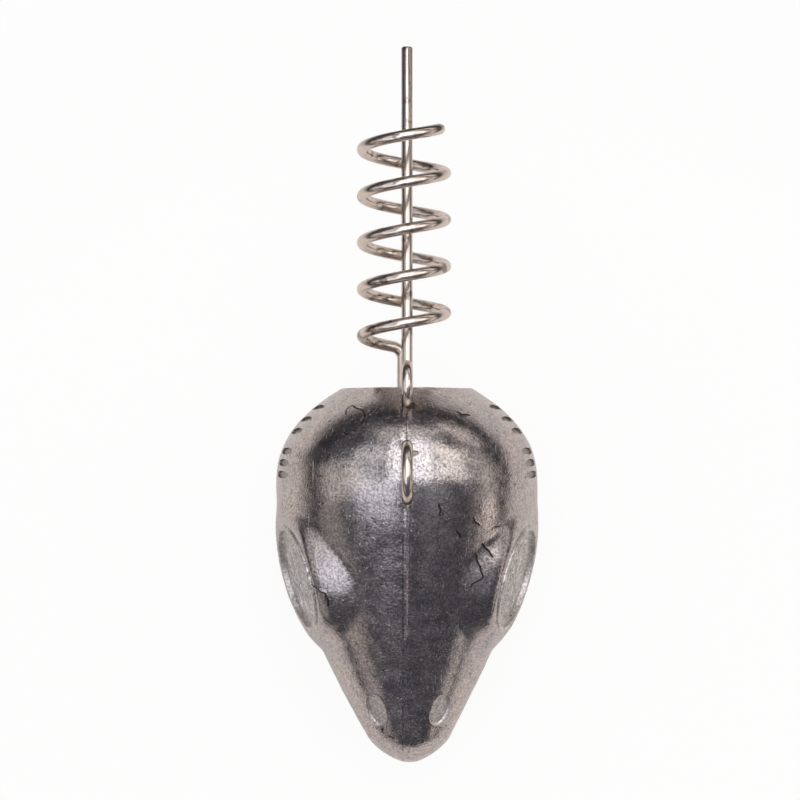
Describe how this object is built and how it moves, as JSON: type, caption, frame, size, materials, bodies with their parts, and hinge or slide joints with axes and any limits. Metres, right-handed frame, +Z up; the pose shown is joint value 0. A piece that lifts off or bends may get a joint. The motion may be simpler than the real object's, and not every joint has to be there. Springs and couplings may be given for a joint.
{
  "type": "screw-in jig head",
  "caption": "Screw-in jig head: a cast lead fish head with a line eye on its crown, a small rear eye, and a wire screw round a centre pin that holds a soft lure.",
  "frame": {"origin": "middle of the flat rear seat of the lead head, half way across and half way up it", "axes": "+Y back out of the seat along the centre pin and the screw, -Y to the nose, +Z up through the crown and the line eye, +X to the side"},
  "size_m": [0.0236, 0.0638, 0.0276],
  "materials": {
    "cast_lead": "bare cast lead, dull grey with a tumbled sheen, darker in the hollows",
    "spring_wire": "bright drawn stainless spring wire with a warm tint"
  },
  "bodies": {
    "root": {"head_casting": "cast_lead", "centre_pin": "spring_wire", "eye_wire": "spring_wire", "screw_coil": "spring_wire"}
  },
  "joints": []
}
